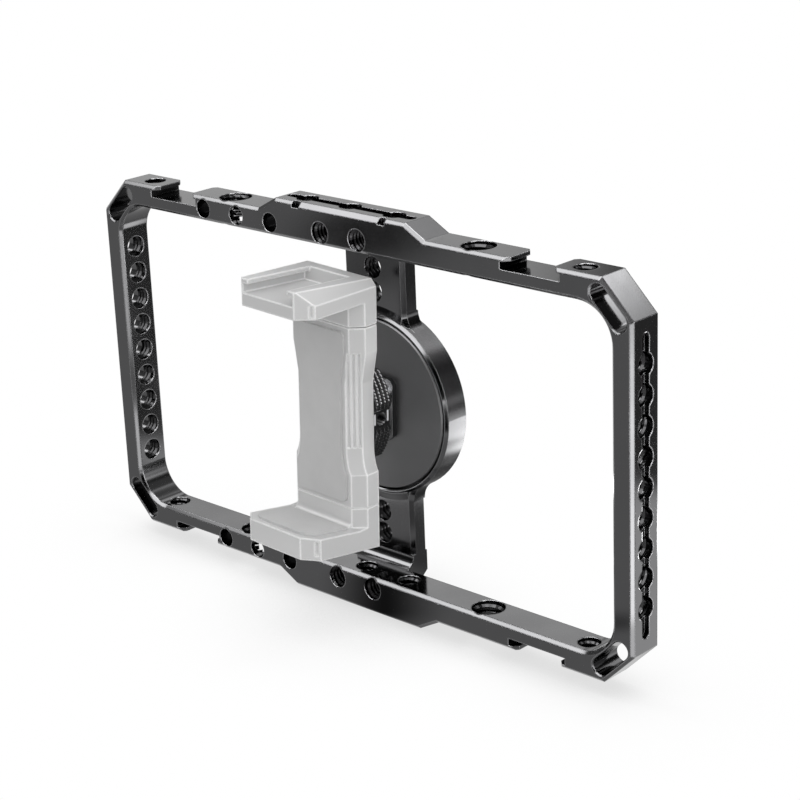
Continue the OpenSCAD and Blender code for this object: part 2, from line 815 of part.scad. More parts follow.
// Outline of the toothed block: a bulged side at height z, and its points with teeth
function bulge_x(z) = sqrt(wheel_bulge_r * wheel_bulge_r - z * z) - bulge_off;
tooth_shares = [0, tooth_tip_share / 2, 0.5, 1 - tooth_tip_share / 2];
function tooth_point(i, k) =
    let (z = band_half + (i + tooth_shares[k]) * tooth_pitch)
        [bulge_x(z) - (k == 2 ? tooth_d : 0), z];
quarter_points = concat([for (i = [0 : quarter_teeth - 1]) for (k = [0 : 3]) tooth_point(i, k)],
                        [[bulge_x(wheel_top - wheel_edge), wheel_top - wheel_edge],
                         [bulge_x(wheel_top) - wheel_edge, wheel_top]]);
last_point = len(quarter_points) - 1;
wheel_points = concat(quarter_points,
                      [for (i = [last_point : -1 : 0]) [-quarter_points[i][0], quarter_points[i][1]]],
                      [for (p = quarter_points) [-p[0], -p[1]]],
                      [for (i = [last_point : -1 : 0]) [quarter_points[i][0], -quarter_points[i][1]]]);

// The smooth form under the teeth, drawn in by the given amount
module wheel_core(inside, y0, y1) {
    r = wheel_bulge_r - inside;
    intersection() {
        translate([bulge_off, 0, 0]) round_y(r, r, y0, y1);
        translate([-bulge_off, 0, 0]) round_y(r, r, y0, y1);
        translate([-wheel_w, y0, inside - wheel_top])
            cube([wheel_w * 2, y1 - y0, (wheel_top - inside) * 2]);
    }
}

module lock_wheel() {
    color("#2f2f31") turned() difference() {
        union() {
            wheel_core(land_in, wheel_y, wheel_y + front_land);
            wheel_core(row_deep, wheel_y, wheel_back);
            for (i = [0 : tooth_rows - 1])
                along(wheel_y + front_land + i * row_pitch + row_gap,
                      wheel_y + front_land + (i + 1) * row_pitch)
                    polygon(wheel_points);
        }
        round_y(bolt_bore, bolt_bore, wheel_y - over, wheel_back + over);
        two_ways_x() {
            along(wheel_y - over, wheel_back + over)
                polygon([[wheel_x - band_d, -band_flat], [wheel_x - band_d, band_flat],
                         [wheel_x + over, band_flat + band_d + over],
                         [wheel_x + over, -band_flat - band_d - over]]);
            translate([0, (wheel_y + wheel_back) / 2, 0])
                round_x(tommy_d / 2, wheel_x - tommy_deep, wheel_x + over);
        }
    }
}

module clamp_washer() {
    r = clamp_washer_d / 2;
    bevel = clamp_washer_t / 4;
    color("#6d6d70") turned() difference() {
        revolved_y()
            polygon([[bolt_bore, clamp_back], [r, clamp_back], [r, clamp_washer_back - bevel],
                     [r - bevel, clamp_washer_back], [bolt_bore, clamp_washer_back]]);
        round_y(bolt_bore, bolt_bore, clamp_back - over, clamp_washer_back + over);
    }
}

// Section of the clamp in X and Y
module clamp_section() {
    polygon([[-clamp_x, clamp_back], [-clamp_x, side_y], [-front_x, clamp_y],
             [front_x, clamp_y], [clamp_x, side_y], [clamp_x, clamp_back]]);
}

// Turn of the waist's curved end, and a point on it as shares of its depth and height
waist_turn = 68;
waist_steps = 8;
function curve_out(i) = (1 - cos(waist_turn * i / waist_steps)) / (1 - cos(waist_turn));
function curve_down(i) = sin(waist_turn * i / waist_steps) / sin(waist_turn);

// What the waist takes away at the right of the given half width
module waist_cut(half, deep, y0, y1) {
    curve = [for (i = [0 : waist_steps])
        [half - deep * (1 - curve_out(i)), -waist_low - waist_curve * curve_down(i)]];
    along(y0, y1)
        polygon(concat(curve, [[half + over, -waist_low - waist_curve],
                               [half + over, waist_high + waist_slope],
                               [half, waist_high + waist_slope], [half - deep, waist_high]]));
}

// A bar of the body's height with the waist cut in both sides
module waisted_bar(half, deep, reach) {
    difference() {
        translate([-half, -reach, -clamp_down]) cube([half * 2, reach * 2, clamp_down + body_top]);
        two_ways_x() waist_cut(half, deep, -reach - over, reach + over);
    }
}

// Body of the clamp, drawn in by the given amount
module body_form(inside) {
    away = (clamp_x - side_y) * sin(45);
    intersection() {
        waisted_bar(clamp_x - inside, waist_d, clamp_w);
        rotate([0, 0, 45]) waisted_bar(away - inside, waist_d * sin(45), clamp_w);
        rotate([0, 0, -45]) waisted_bar(away - inside, waist_d * sin(45), clamp_w);
        translate([-clamp_w, clamp_y, -clamp_w - clamp_down])
            cube([clamp_w * 2, clamp_t, clamp_w * 4 + clamp_up]);
    }
}

// Grip grooves on the cut edge, over the length of the waist
module grip_grooves() {
    low = run_gap - waist_low;
    long = waist_high + waist_slope - low;
    edge_in = (clamp_x - side_y - waist_d) * sin(45) - grip_d * 2;
    edge_at = (clamp_x - waist_d + side_y) * sin(45);
    first = grip_pitch * grip_first_share + grip_w / 2;
    rotate([0, 0, -45]) for (i = [0 : grip_count - 1])
        translate([edge_in, edge_at - i * grip_pitch - first, low])
            cube([waist_d + grip_d * 2 + over, grip_w, long]);
}

module clamp_body() {
    color("#b9b9ba") turned() difference() {
        body_form(0);
        difference() {
            two_ways_x() grip_grooves();
            body_form(grip_d);
        }
        round_y(bolt_bore, bolt_bore, bolt_tip - fit * 2, clamp_back + over);
        two_ways_x() {
            translate([rod_x, rod_y, 0]) {
                round_z(rod_bore, rod_bore_end, body_top + over);
                round_z(jaw_screw_r + fit, low_z - over, jaw_screw_top + fit);
            }
        }
    }
}

module body_pad() {
    low = low_z + pad_end;
    high = clamp_up - pad_end;
    color("#a3a3a4") turned() intersection() {
        difference() {
            translate([-pad_x, clamp_y - pad_t, low]) cube([pad_x * 2, pad_t, high - low]);
            two_ways_x() waist_cut(pad_x, waist_d, clamp_y - pad_t - over, clamp_y + over);
        }
        union() {
            translate([pad_r - pad_x, clamp_y - pad_t, low])
                cube([(pad_x - pad_r) * 2, pad_t, high - low]);
            translate([-pad_x, clamp_y - pad_t, low + pad_r])
                cube([pad_x * 2, pad_t, high - low - pad_r * 2]);
            two_ways_x() for (z = [low + pad_r, high - pad_r])
                translate([pad_x - pad_r, 0, z]) round_y(pad_r, pad_r, clamp_y - pad_t, clamp_y);
        }
    }
}

// Plan of both jaws, with cut corners at the tip
module jaw_plan() {
    polygon([[-clamp_x, clamp_back], [-clamp_x, cut_y], [-tip_x, tip_y], [tip_x, tip_y],
             [clamp_x, cut_y], [clamp_x, clamp_back]]);
}

// Small upright grooves in the cut corners of the tip
module tip_grooves(z0, z1) {
    away = (clamp_x - cut_y) * sin(45);
    place = (clamp_x + cut_y) * sin(45) - jaw_cut * 0.4;
    two_ways_x() rotate([0, 0, -45]) translate([away - tip_groove_d, place, z0])
        cube([over, tip_groove_w, z1 - z0]);
}

// The shoe in the top of the upper jaw, open at the tip
module top_shoe() {
    long = jaw_l - top_stop;
    translate([0, tip_y, rim_tip_z]) rotate([-rim_lean, 0, 0]) {
        translate([-top_gap / 2, -over, -top_shoe_d])
            cube([top_gap, long + over, top_shoe_d + over]);
        translate([-top_shoe_w / 2, -over, -top_shoe_d])
            cube([top_shoe_w, long + over, top_shoe_d - top_lip]);
    }
}

module upper_jaw() {
    slope_x = (clamp_x - rim_x) * over / (rim_tip_z - side_z);
    color("#bcbcbd") turned() difference() {
        union() {
            upright(jaw_bottom, up_jaw_z + over) clamp_section();
            intersection() {
                across(-clamp_x, clamp_x)
                    polygon([[clamp_back, up_jaw_z], [clamp_back, rim_back_z],
                             [tip_y, rim_tip_z], [tip_y, up_jaw_z]]);
                upright(up_jaw_z, rim_tip_z + over) jaw_plan();
                along(tip_y - over, clamp_back + over)
                    polygon([[-clamp_x, up_jaw_z], [clamp_x, up_jaw_z], [clamp_x, side_z],
                             [rim_x - slope_x, rim_tip_z + over],
                             [slope_x - rim_x, rim_tip_z + over], [-clamp_x, side_z]]);
            }
            difference() {
                across(-front_x, front_x)
                    polygon([[clamp_y, up_jaw_z - jaw_fillet], [clamp_y, up_jaw_z],
                             [clamp_y - jaw_fillet, up_jaw_z],
                             [clamp_y - jaw_fillet, up_jaw_z - jaw_fillet]]);
                translate([0, clamp_y - jaw_fillet, up_jaw_z - jaw_fillet])
                    round_x(jaw_fillet, -clamp_x, clamp_x);
            }
        }
        top_shoe();
        tip_grooves(up_jaw_z + tip_groove_d, side_z);
        translate([0, 0, up_jaw_z - over]) linear_extrude(up_pad_deep + over) up_pad_plan();
        two_ways_x() {
            translate([rod_x, rod_y, 0])
                round_z(rod_r + fit, jaw_bottom - over, clamp_up + rod_seat);
            translate([rod_x, 0, grub_z])
                round_y(grub_r + fit, grub_r + fit, rod_y, clamp_back + over);
        }
    }
}

module up_pad_plan() {
    back = clamp_y - jaw_fillet - pad_end;
    front = tip_y + up_pad_in;
    cut = jaw_cut / 2;
    polygon([[-up_pad_x, back], [-up_pad_x, front + cut], [cut - up_pad_x, front],
             [up_pad_x - cut, front], [up_pad_x, front + cut], [up_pad_x, back]]);
}

module upper_pad() {
    color("#8f8f91") turned() translate([0, 0, up_jaw_z - up_pad_out])
        linear_extrude(up_pad_out + up_pad_deep) up_pad_plan();
}

// Height of the top of the lower jaw at depth y
function low_top(y) = low_jaw_z + (clamp_y - y) * tan(low_lean);

module lower_jaw() {
    centre_y = clamp_y - low_fillet;
    centre_z = low_top(centre_y) + low_fillet / cos(low_lean);
    color("#b6b6b7") turned() difference() {
        union() {
            upright(low_jaw_z - over, low_z) clamp_section();
            intersection() {
                across(-clamp_x, clamp_x)
                    polygon([[clamp_back, low_bottom], [clamp_back, low_jaw_z],
                             [clamp_y, low_jaw_z], [tip_y, low_tip_top],
                             [tip_y, low_tip_bottom]]);
                upright(low_bottom - over, low_z) jaw_plan();
            }
            difference() {
                across(-front_x, front_x)
                    polygon([[clamp_y + over, low_jaw_z], [clamp_y + over, centre_z],
                             [centre_y, centre_z],
                             [centre_y - low_fillet * sin(low_lean),
                              centre_z - low_fillet * cos(low_lean)]]);
                translate([0, centre_y, centre_z]) round_x(low_fillet, -clamp_x, clamp_x);
            }
        }
        tip_grooves(low_tip_bottom + tip_groove_d * 2, low_tip_top - tip_groove_d * 3);
        two_ways_x() translate([rod_x, rod_y, 0]) {
            round_z(jaw_screw_r + fit, low_bottom - over, low_z + over);
            round_z(jaw_head_r + fit, low_bottom - over, low_bottom + jaw_head_h + jaw_head_r);
        }
    }
}

module lower_pad() {
    x = clamp_x - low_pad_in;
    back = clamp_y - low_fillet - run_gap * 1.5;
    front = tip_y + low_pad_front;
    r = low_pad_r;
    color("#adadae") turned() intersection() {
        across(-clamp_x, clamp_x)
            polygon([[back, low_top(back)], [back, low_top(back) + low_pad_t],
                     [front, low_top(front) + low_pad_t], [front, low_top(front)]]);
        upright(low_bottom, 0) union() {
            translate([-x, front + r]) square([x * 2, back - front - r]);
            translate([r - x, front]) square([(x - r) * 2, r * 2]);
            for (side = [-1, 1]) translate([side * (x - r), front + r]) circle(r);
        }
    }
}

module jaw_screws() {
    seat = low_bottom + jaw_head_h + jaw_head_r;
    color("#8c8c90") turned() two_ways_x() translate([rod_x, rod_y, 0]) difference() {
        union() {
            round_z(jaw_screw_r, seat - jaw_head_h / 2, jaw_screw_top);
            round_z(jaw_head_r, seat - jaw_head_h, seat);
        }
        translate([0, 0, seat - jaw_head_h - over])
            cylinder(h = over + jaw_head_h / 2, r = jaw_head_r * socket_share, $fn = 6);
    }
}

module guide_rods() {
    bevel = rod_d / 10;
    color("#d0d0d2") turned() two_ways_x() translate([rod_x, rod_y, 0]) rotate_extrude()
        polygon([[0, rod_end], [rod_r - bevel, rod_end], [rod_r, rod_end + bevel],
                 [rod_r, clamp_up + rod_seat - bevel], [rod_r - bevel, clamp_up + rod_seat],
                 [0, clamp_up + rod_seat]]);
}

module rod_screws() {
    color("#7c7c80") turned() two_ways_x() translate([rod_x, 0, grub_z]) difference() {
        round_y(grub_r, grub_r, rod_y + rod_r + fit, clamp_back - fit);
        translate([0, clamp_back - grub_r / 2, 0]) rotate([-90, 0, 0])
            cylinder(h = over, r = grub_r * socket_share, $fn = 6);
    }
}

cage_frame();
thrust_washer();
turn_disc();
rear_flange();
flange_screws();
pivot_bolt();
bolt_washer();
adapter_plate();
plate_screws();
wheel_washer();
lock_wheel();
clamp_washer();
clamp_body();
body_pad();
lower_jaw();
lower_pad();
jaw_screws();
upper_jaw();
upper_pad();
guide_rods();
rod_screws();
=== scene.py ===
import json
import math

import bmesh
import bpy
from mathutils import Matrix, Vector


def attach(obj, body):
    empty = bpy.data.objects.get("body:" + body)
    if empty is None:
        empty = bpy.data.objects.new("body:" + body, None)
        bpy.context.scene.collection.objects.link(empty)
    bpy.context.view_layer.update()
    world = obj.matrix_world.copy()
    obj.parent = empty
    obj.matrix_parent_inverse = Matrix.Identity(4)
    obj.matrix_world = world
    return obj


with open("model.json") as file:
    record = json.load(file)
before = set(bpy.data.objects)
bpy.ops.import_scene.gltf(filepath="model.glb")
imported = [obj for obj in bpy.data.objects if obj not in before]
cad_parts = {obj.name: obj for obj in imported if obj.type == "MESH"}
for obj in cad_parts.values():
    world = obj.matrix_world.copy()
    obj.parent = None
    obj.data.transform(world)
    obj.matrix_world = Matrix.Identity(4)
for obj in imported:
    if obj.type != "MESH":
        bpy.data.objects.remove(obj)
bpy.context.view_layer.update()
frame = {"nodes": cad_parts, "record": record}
scene = bpy.context.scene

MM = 0.001
RAIL_MIDDLE = 5.5           # from the cage's front plane to the middle of the rails' depth, in millimetres
CAGE_MIDDLE = 59.0          # from the row frame's origin up to the middle of the cage, in millimetres


def row(x, y, z):
    """A point from the middle of the cage's front plane, in millimetres, in the row frame."""
    return Vector((x, y - RAIL_MIDDLE, z + CAGE_MIDDLE)) * MM


# Camera at the photograph's viewing angle, fitted to the corners of the cage
CAMERA_PLACE = (0.3998, -0.4026, 0.2599)
CAMERA_RIGHT = (0.7323, 0.6801, -0.0382)
CAMERA_UP = (-0.1985, 0.2668, 0.9432)
CAMERA_BACK = (0.6516, -0.6830, 0.3303)
FOCAL_PIXELS = 2131.0
FRAME_PIXELS = 800.0
SENSOR_WIDTH = 36.0
CLIP_NEAR, CLIP_FAR = 0.01, 50.0

cam = bpy.data.objects.new("camera", bpy.data.cameras.new("camera"))
scene.collection.objects.link(cam)
turn = Matrix((CAMERA_RIGHT, CAMERA_UP, CAMERA_BACK)).transposed()
cam.matrix_world = Matrix.Translation(CAMERA_PLACE) @ turn.to_4x4()
cam.data.sensor_width = SENSOR_WIDTH
cam.data.lens = FOCAL_PIXELS / FRAME_PIXELS * SENSOR_WIDTH
cam.data.clip_start, cam.data.clip_end = CLIP_NEAR, CLIP_FAR
scene.camera = cam
scene.view_settings.view_transform = "Standard"
scene.view_settings.look = "None"


class Nodes:
    """Short ways to write down a node tree."""

    def __init__(self, tree):
        self.tree = tree
        tree.nodes.clear()

    def add(self, kind, **values):
        node = self.tree.nodes.new("ShaderNode" + kind)
        for key, value in values.items():
            setattr(node, key, value)
        return node

    def put(self, socket, value):
        if isinstance(value, bpy.types.NodeSocket):
            self.tree.links.new(value, socket)
        elif value is not None:
            socket.default_value = value

    def math(self, op, a, b=None, c=None):
        node = self.add("Math", operation=op)
        for i, value in enumerate((a, b, c)):
            self.put(node.inputs[i], value)
        return node.outputs[0]

    def times(self, a, b):
        return self.math("MULTIPLY", a, b)

    def less(self, a, b):
        return self.math("SUBTRACT", a, b)

    def size(self, a, b):
        """The length of a vector with two components."""
        return self.math("SQRT", self.math("ADD", self.times(a, a), self.times(b, b)))

    def split(self, vector):
        node = self.add("SeparateXYZ")
        self.put(node.inputs[0], vector)
        return node.outputs

    def step(self, value, low, high, to_low=0.0, to_high=1.0):
        """A soft step from one value to another between low and high."""
        node = self.add("MapRange", interpolation_type="SMOOTHSTEP")
        for i, v in enumerate((value, low, high, to_low, to_high)):
            self.put(node.inputs[i], v)
        return node.outputs[0]

    def span(self, value, low, high, soft):
        """1 between low and high, falling off softly outside."""
        rise = self.step(value, low - soft, low + soft)
        fall = self.step(value, high - soft, high + soft, 1.0, 0.0)
        return self.times(rise, fall)

    def choose(self, share, a, b):
        """A number between a and b."""
        node = self.add("Mix", data_type="FLOAT")
        self.put(node.inputs[0], share)
        self.put(node.inputs[2], a)
        self.put(node.inputs[3], b)
        return node.outputs[0]

    def blend(self, share, a, b):
        """A colour between a and b."""
        node = self.add("Mix", data_type="RGBA")
        self.put(node.inputs[0], share)
        self.put(node.inputs[6], a)
        self.put(node.inputs[7], b)
        return node.outputs[2]

    def noise(self, vector, scale, detail, rough=0.55):
        node = self.add("TexNoise")
        self.put(node.inputs["Vector"], vector)
        node.inputs["Scale"].default_value = scale
        node.inputs["Detail"].default_value = detail
        node.inputs["Roughness"].default_value = rough
        return node.outputs[0]

    def rounded(self, radius):
        """The normal of edges that are rounded with this radius."""
        node = self.add("Bevel", samples=6)
        node.inputs["Radius"].default_value = radius
        return node

    def bump(self, height, strength, distance, normal):
        node = self.add("Bump")
        node.inputs["Strength"].default_value = strength
        node.inputs["Distance"].default_value = distance
        self.put(node.inputs["Height"], height)
        self.put(node.inputs["Normal"], normal)
        return node.outputs[0]

    def finish(self, kind, shader):
        self.put(self.add(kind).inputs[0], shader.outputs[0])


# The studio is seen only in reflections. Soft boxes and dark flags are spans of direction, in degrees round
# from the front and up from the horizon: from, to, softness, low, high, softness, and the light that a box adds
# or the share that a flag takes.
BASE_LIGHT = 0.42
SOFT_BOXES = (
    (-84, 28, 5, 38, 60, 3, 9.0),       # key soft box, in front, above
    (60, 96, 5, -14, 52, 6, 6.0),       # side soft box, right
    (-141, -118, 2, 5, 18, 3, 0.70),    # low panel, left and behind
    (-150, -122, 8, 21, 30, 3, 1.7),    # its upper half
    (157, 172, 3, 35, 39, 1, 11.0),     # strip, behind and above
    (-204, -156, 5, 41, 50, 4, 2.6),    # panel over it
    (154, 204, 4, 41, 50, 4, 2.8),      # the same panel past the half turn
    (117, 127, 4, 4, 15, 4, 3.0),       # small low panel, right and behind
    (122, 129, 3, 16, 23, 3, 5.0),      # small panel over it
    (-150, -136, 4, 39, 46, 3, 2.4),    # small panel, left, behind and above
    (-190, 190, 1, 68, 95, 3, 8.0),     # overhead box
)
FLAGS = (
    (131, 149, 4, 0, 31, 4, 0.9),       # right and behind
    (-160, -142, 1, 4, 18, 2, 0.6),     # left and behind
    (-47, -20, 4, -4, 28, 4, 0.85),     # in front
    (24, 54, 5, -10, 33, 4, 0.95),      # in front and right
)
# Matt surfaces get a plain light that grows to the right and upwards
PLAIN_LIGHT, PLAIN_RIGHT, PLAIN_UP = 0.85, 0.62, 0.60
BACKDROP = 1.25                         # the backdrop comes out white


def studio():
    world = bpy.data.worlds.new("studio")
    scene.world = world
    world.use_nodes = True
    world.cycles.sampling_method = "NONE"
    n = Nodes(world.node_tree)
    dx, dy, dz = n.split(n.add("TexCoord").outputs["Generated"])
    degrees = 180 / math.pi
    azimuth = n.times(n.math("ARCTAN2", dx, n.times(dy, -1.0)), degrees)
    height = n.times(n.math("ARCSINE", dz), degrees)

    def spot(az0, az1, az_soft, el0, el1, el_soft):
        return n.times(n.span(azimuth, az0, az1, az_soft), n.span(height, el0, el1, el_soft))

    light = BASE_LIGHT
    for *place, strength in SOFT_BOXES:
        light = n.math("MULTIPLY_ADD", spot(*place), strength, light)
    for *place, share in FLAGS:
        light = n.times(light, n.less(1.0, n.times(spot(*place), share)))
    plain = n.math("MULTIPLY_ADD", dx, PLAIN_RIGHT, n.math("MULTIPLY_ADD", dz, PLAIN_UP, PLAIN_LIGHT))
    path = n.add("LightPath").outputs
    seen = n.choose(path["Is Camera Ray"], n.choose(path["Is Diffuse Ray"], light, plain), BACKDROP)
    ground = n.add("Background")
    n.put(ground.inputs["Strength"], seen)
    n.finish("OutputWorld", ground)


# The floor shines by itself. Reflections see it with the cards that lie on it, which are bands round a line
# between two points, in millimetres of the row frame: x, y, x, y, half width, softness, brightness.
FLOOR_HALF = 6.0
FLOOR_DROP = 0.0003
FLOOR_BARE = 0.76                       # brightness of the bare floor in reflections
FLOOR_BEHIND = 0.6                      # what the shade behind the cage takes from it
FLOOR_FAR_RIGHT = 1.3                   # what the far right end of that shade gains
FLOOR_LIGHT = 0.6                       # brightness for matt surfaces
SHADE_X, SHADE_Y = (-60.0, 0.0), (10.0, 40.0)           # that shade begins softly here
SHADE_END_X = (350.0, 600.0)
ARM_X = 96.0                            # inner side of the bevel on the right arm's outer edge
AHEAD, AHEAD_BEVEL = 1.2, 4.5           # brightness in front to the right, and of what 45 degree bevels mirror
AHEAD_SLOPE, AHEAD_X, AHEAD_Y = 0.757, (20.0, 45.0), (-14.0, 4.0)
WEDGE_LEFT_SLOPE, WEDGE_RIGHT_SLOPE, WEDGE_RIGHT_X, WEDGE_EDGE = 0.62, -1.75, 92.0, (-6.0, 10.0)
CARDS = (
    (118.0, -73.0, 900.0, -855.0, 20.0, 12.0, 0.0),
    (146.0, -41.0, 350.0, -193.0, 7.0, 5.0, 9.0),       # outer edge of the right arm
    (-66.0, -40.0, -22.0, -95.0, 5.0, 4.0, 5.0),
    (34.0, -163.0, 150.0, -308.0, 7.0, 5.0, 5.0),
    (-80.0, 42.0, -38.0, 42.0, 12.0, 10.0, 1.9),
    (23.0, 54.0, 30.0, 57.0, 3.0, 4.0, 0.9),
    (125.0, 15.0, 185.0, 95.0, 26.0, 9.0, 2.1),         # outer face of the right arm
    (125.0, 127.0, 195.0, 191.0, 10.0, 16.0, 4.0),
    (48.0, 71.0, 140.0, 139.0, 14.0, 6.0, 10.0),        # wall of the round housing
    (-25.0, 92.0, 8.0, 107.0, 8.0, 5.0, 4.7),
    (36.0, 36.0, 62.0, 66.0, 8.0, 6.0, 0.3),
    (54.0, -33.0, 66.0, -45.0, 5.0, 4.0, 0.3),
    (-280.0, -306.0, -300.0, -328.0, 33.0, 8.0, 0.0),
    (8.0, -9.0, -7.0, -25.0, 11.0, 11.0, 0.06),         # middle of the bottom rail
    (-250.0, -245.0, -240.0, -240.0, 22.0, 16.0, 0.3),
)
SHADOW_REACH = 0.045
SHADOW_STEP = (0.30, 0.97, 0.72, 1.0)   # open share and brightness, in the deepest shadow and outside it


def floor_material():
    mat = bpy.data.materials.new("floor_white")
    mat.use_nodes = True
    f = Nodes(mat.node_tree)
    x, y, _ = f.split(f.add("NewGeometry").outputs["Position"])
    x = f.times(x, 1 / MM)
    y = f.times(y, 1 / MM)

    def band(x0, y0, x1, y1, half, soft):
        """1 within half of the line between two points, falling off softly outside."""
        length = math.hypot(x1 - x0, y1 - y0)
        ux, uy = (x1 - x0) / length, (y1 - y0) / length
        px, py = f.less(x, x0), f.less(y, y0)
        along = f.math("ADD", f.times(px, ux), f.times(py, uy))
        across = f.less(f.times(py, ux), f.times(px, uy))
        past = f.less(along, f.math("MINIMUM", f.math("MAXIMUM", along, 0.0), length))
        return f.step(f.size(past, across), half - soft, half + soft, 1.0, 0.0)

    behind = f.times(f.step(x, *SHADE_X), f.step(y, *SHADE_Y))
    glow = f.less(FLOOR_BARE, f.times(behind, FLOOR_BEHIND))
    glow = f.math("MULTIPLY_ADD", f.times(behind, f.step(x, *SHADE_END_X)), FLOOR_FAR_RIGHT, glow)
    past_arm = f.less(x, ARM_X)
    beside = f.less(past_arm, f.times(y, AHEAD_SLOPE))
    ahead = f.times(f.step(beside, *AHEAD_X), f.step(y, *AHEAD_Y, 1.0, 0.0))
    near_left = f.math("MULTIPLY_ADD", y, WEDGE_LEFT_SLOPE, past_arm)
    near_right = f.less(f.times(y, WEDGE_RIGHT_SLOPE), f.less(x, WEDGE_RIGHT_X))
    wedge = f.times(f.step(near_left, *WEDGE_EDGE), f.step(near_right, *WEDGE_EDGE))
    lights = [(ahead, AHEAD), (f.times(ahead, wedge), AHEAD_BEVEL)]
    lights += [(band(*place), value) for *place, value in CARDS]
    for share, value in lights:
        glow = f.math("ADD", f.times(glow, f.less(1.0, share)), f.times(share, value))

    # the object's soft shadow, where the floor is seen itself
    hidden = f.add("AmbientOcclusion", samples=8)
    hidden.inputs["Distance"].default_value = SHADOW_REACH
    shadow = f.step(hidden.outputs["AO"], *SHADOW_STEP)
    path = f.add("LightPath").outputs
    seen = f.choose(path["Is Camera Ray"], f.choose(path["Is Glossy Ray"], FLOOR_LIGHT, glow), shadow)
    shine = f.add("Emission")
    f.put(shine.inputs["Strength"], seen)
    f.finish("OutputMaterial", shine)
    mat.cycles.emission_sampling = "NONE"
    return mat


studio()
mesh = bpy.data.meshes.new("floor")
h = FLOOR_HALF
mesh.from_pydata([(-h, -h, 0), (h, -h, 0), (h, h, 0), (-h, h, 0)], [], [(0, 1, 2, 3)])
floor = bpy.data.objects.new("floor", mesh)
floor.location = (0, 0, -FLOOR_DROP)
scene.collection.objects.link(floor)
mesh.materials.append(floor_material())


# The toothed block's painted glints and highlight bars, in metres from the cage's middle
TOOTH_ROW_START, TOOTH_ROW_STEP = -0.0040, 0.001525
TOOTH_ROW_LIT = (0.5, 0.75, 0.08)       # the share of a row that gets painted glints, and its softness
TOOTH_FIELD = (0.0041, 0.0044)          # the teeth begin this far above and below the middle
BULGE_RADIUS, BULGE_BEHIND = 0.021, 0.0106
TIP_DEPTH = (0.00004, 0.00012)
CROSS_HOLE_Y, CROSS_HOLE_BAR = -0.0013, 0.0026
BAR_HALF, BAR_LENGTH, BAR_FRONT = (0.0002, 0.0005), (0.0014, 0.0019), (0.0090, 0.0093)
TOOTH_EDGE_SHARE = 0.12                       # how much of the painted edge highlight the block's other edges keep
# The plate and the round housing, in metres
PLATE_FRONT = (0.0058, 0.0064)
PLATE_ROUNDING = 0.00016
HOUSING_WALL = (0.0269, 0.0277, 0.0001)
HOUSING_SPREAD = 0.11
TURNING_PITCH, TURNING_DEPTH = 0.00035, 0.35
# painted shade in hollows: how far the occlusion looks, and the colour it darkens to
HOLLOW_SHADE_REACH, HOLLOW_SHADE_COLOUR = 0.005, (0.006, 0.006, 0.006, 1)
METAL_GRAIN, METAL_PATCHES, METAL_RELIEF = 2600.0, 55.0, 0.00004
RUBBER_PATCHES, RUBBER_RELIEF, RUBBER_ROUNDING = 90.0, 0.00005, 0.0003
EDGE_FLAT = 0.995                       # a rounded normal this close to the flat one counts as no edge
GLOSS_SPREAD, GRAIN_SPREAD, RUBBER_SPREAD = 0.02, 0.04, 0.06    # how far roughness strays


def tooth_glints(m, px, py, pz):
    """Painted glints on the tips of the teeth and painted highlight bars beside the cross hole, as two masks.
    """
    side, level = m.math("ABSOLUTE", px), m.math("ABSOLUTE", pz)
    bulge = m.math("SQRT", m.less(BULGE_RADIUS ** 2, m.times(level, level)))
    depth = m.less(m.less(bulge, BULGE_BEHIND), side)
    tip_glints = m.times(m.step(depth, *TIP_DEPTH, 1.0, 0.0), m.step(level, *TOOTH_FIELD))
    share = m.math("FRACT", m.math("DIVIDE", m.less(py, TOOTH_ROW_START), TOOTH_ROW_STEP))
    tip_glints = m.times(tip_glints, m.span(share, *TOOTH_ROW_LIT))
    away = m.math("ABSOLUTE", m.less(py, CROSS_HOLE_Y))
    beside = m.math("ABSOLUTE", m.less(away, CROSS_HOLE_BAR))
    highlight_bars = m.times(m.step(beside, *BAR_HALF, 1.0, 0.0),
                   m.times(m.step(level, *BAR_LENGTH, 1.0, 0.0), m.step(side, *BAR_FRONT)))
    return tip_glints, highlight_bars


def scaled(colour, share):
    return (*[min(1.0, c * share) for c in colour], 1)


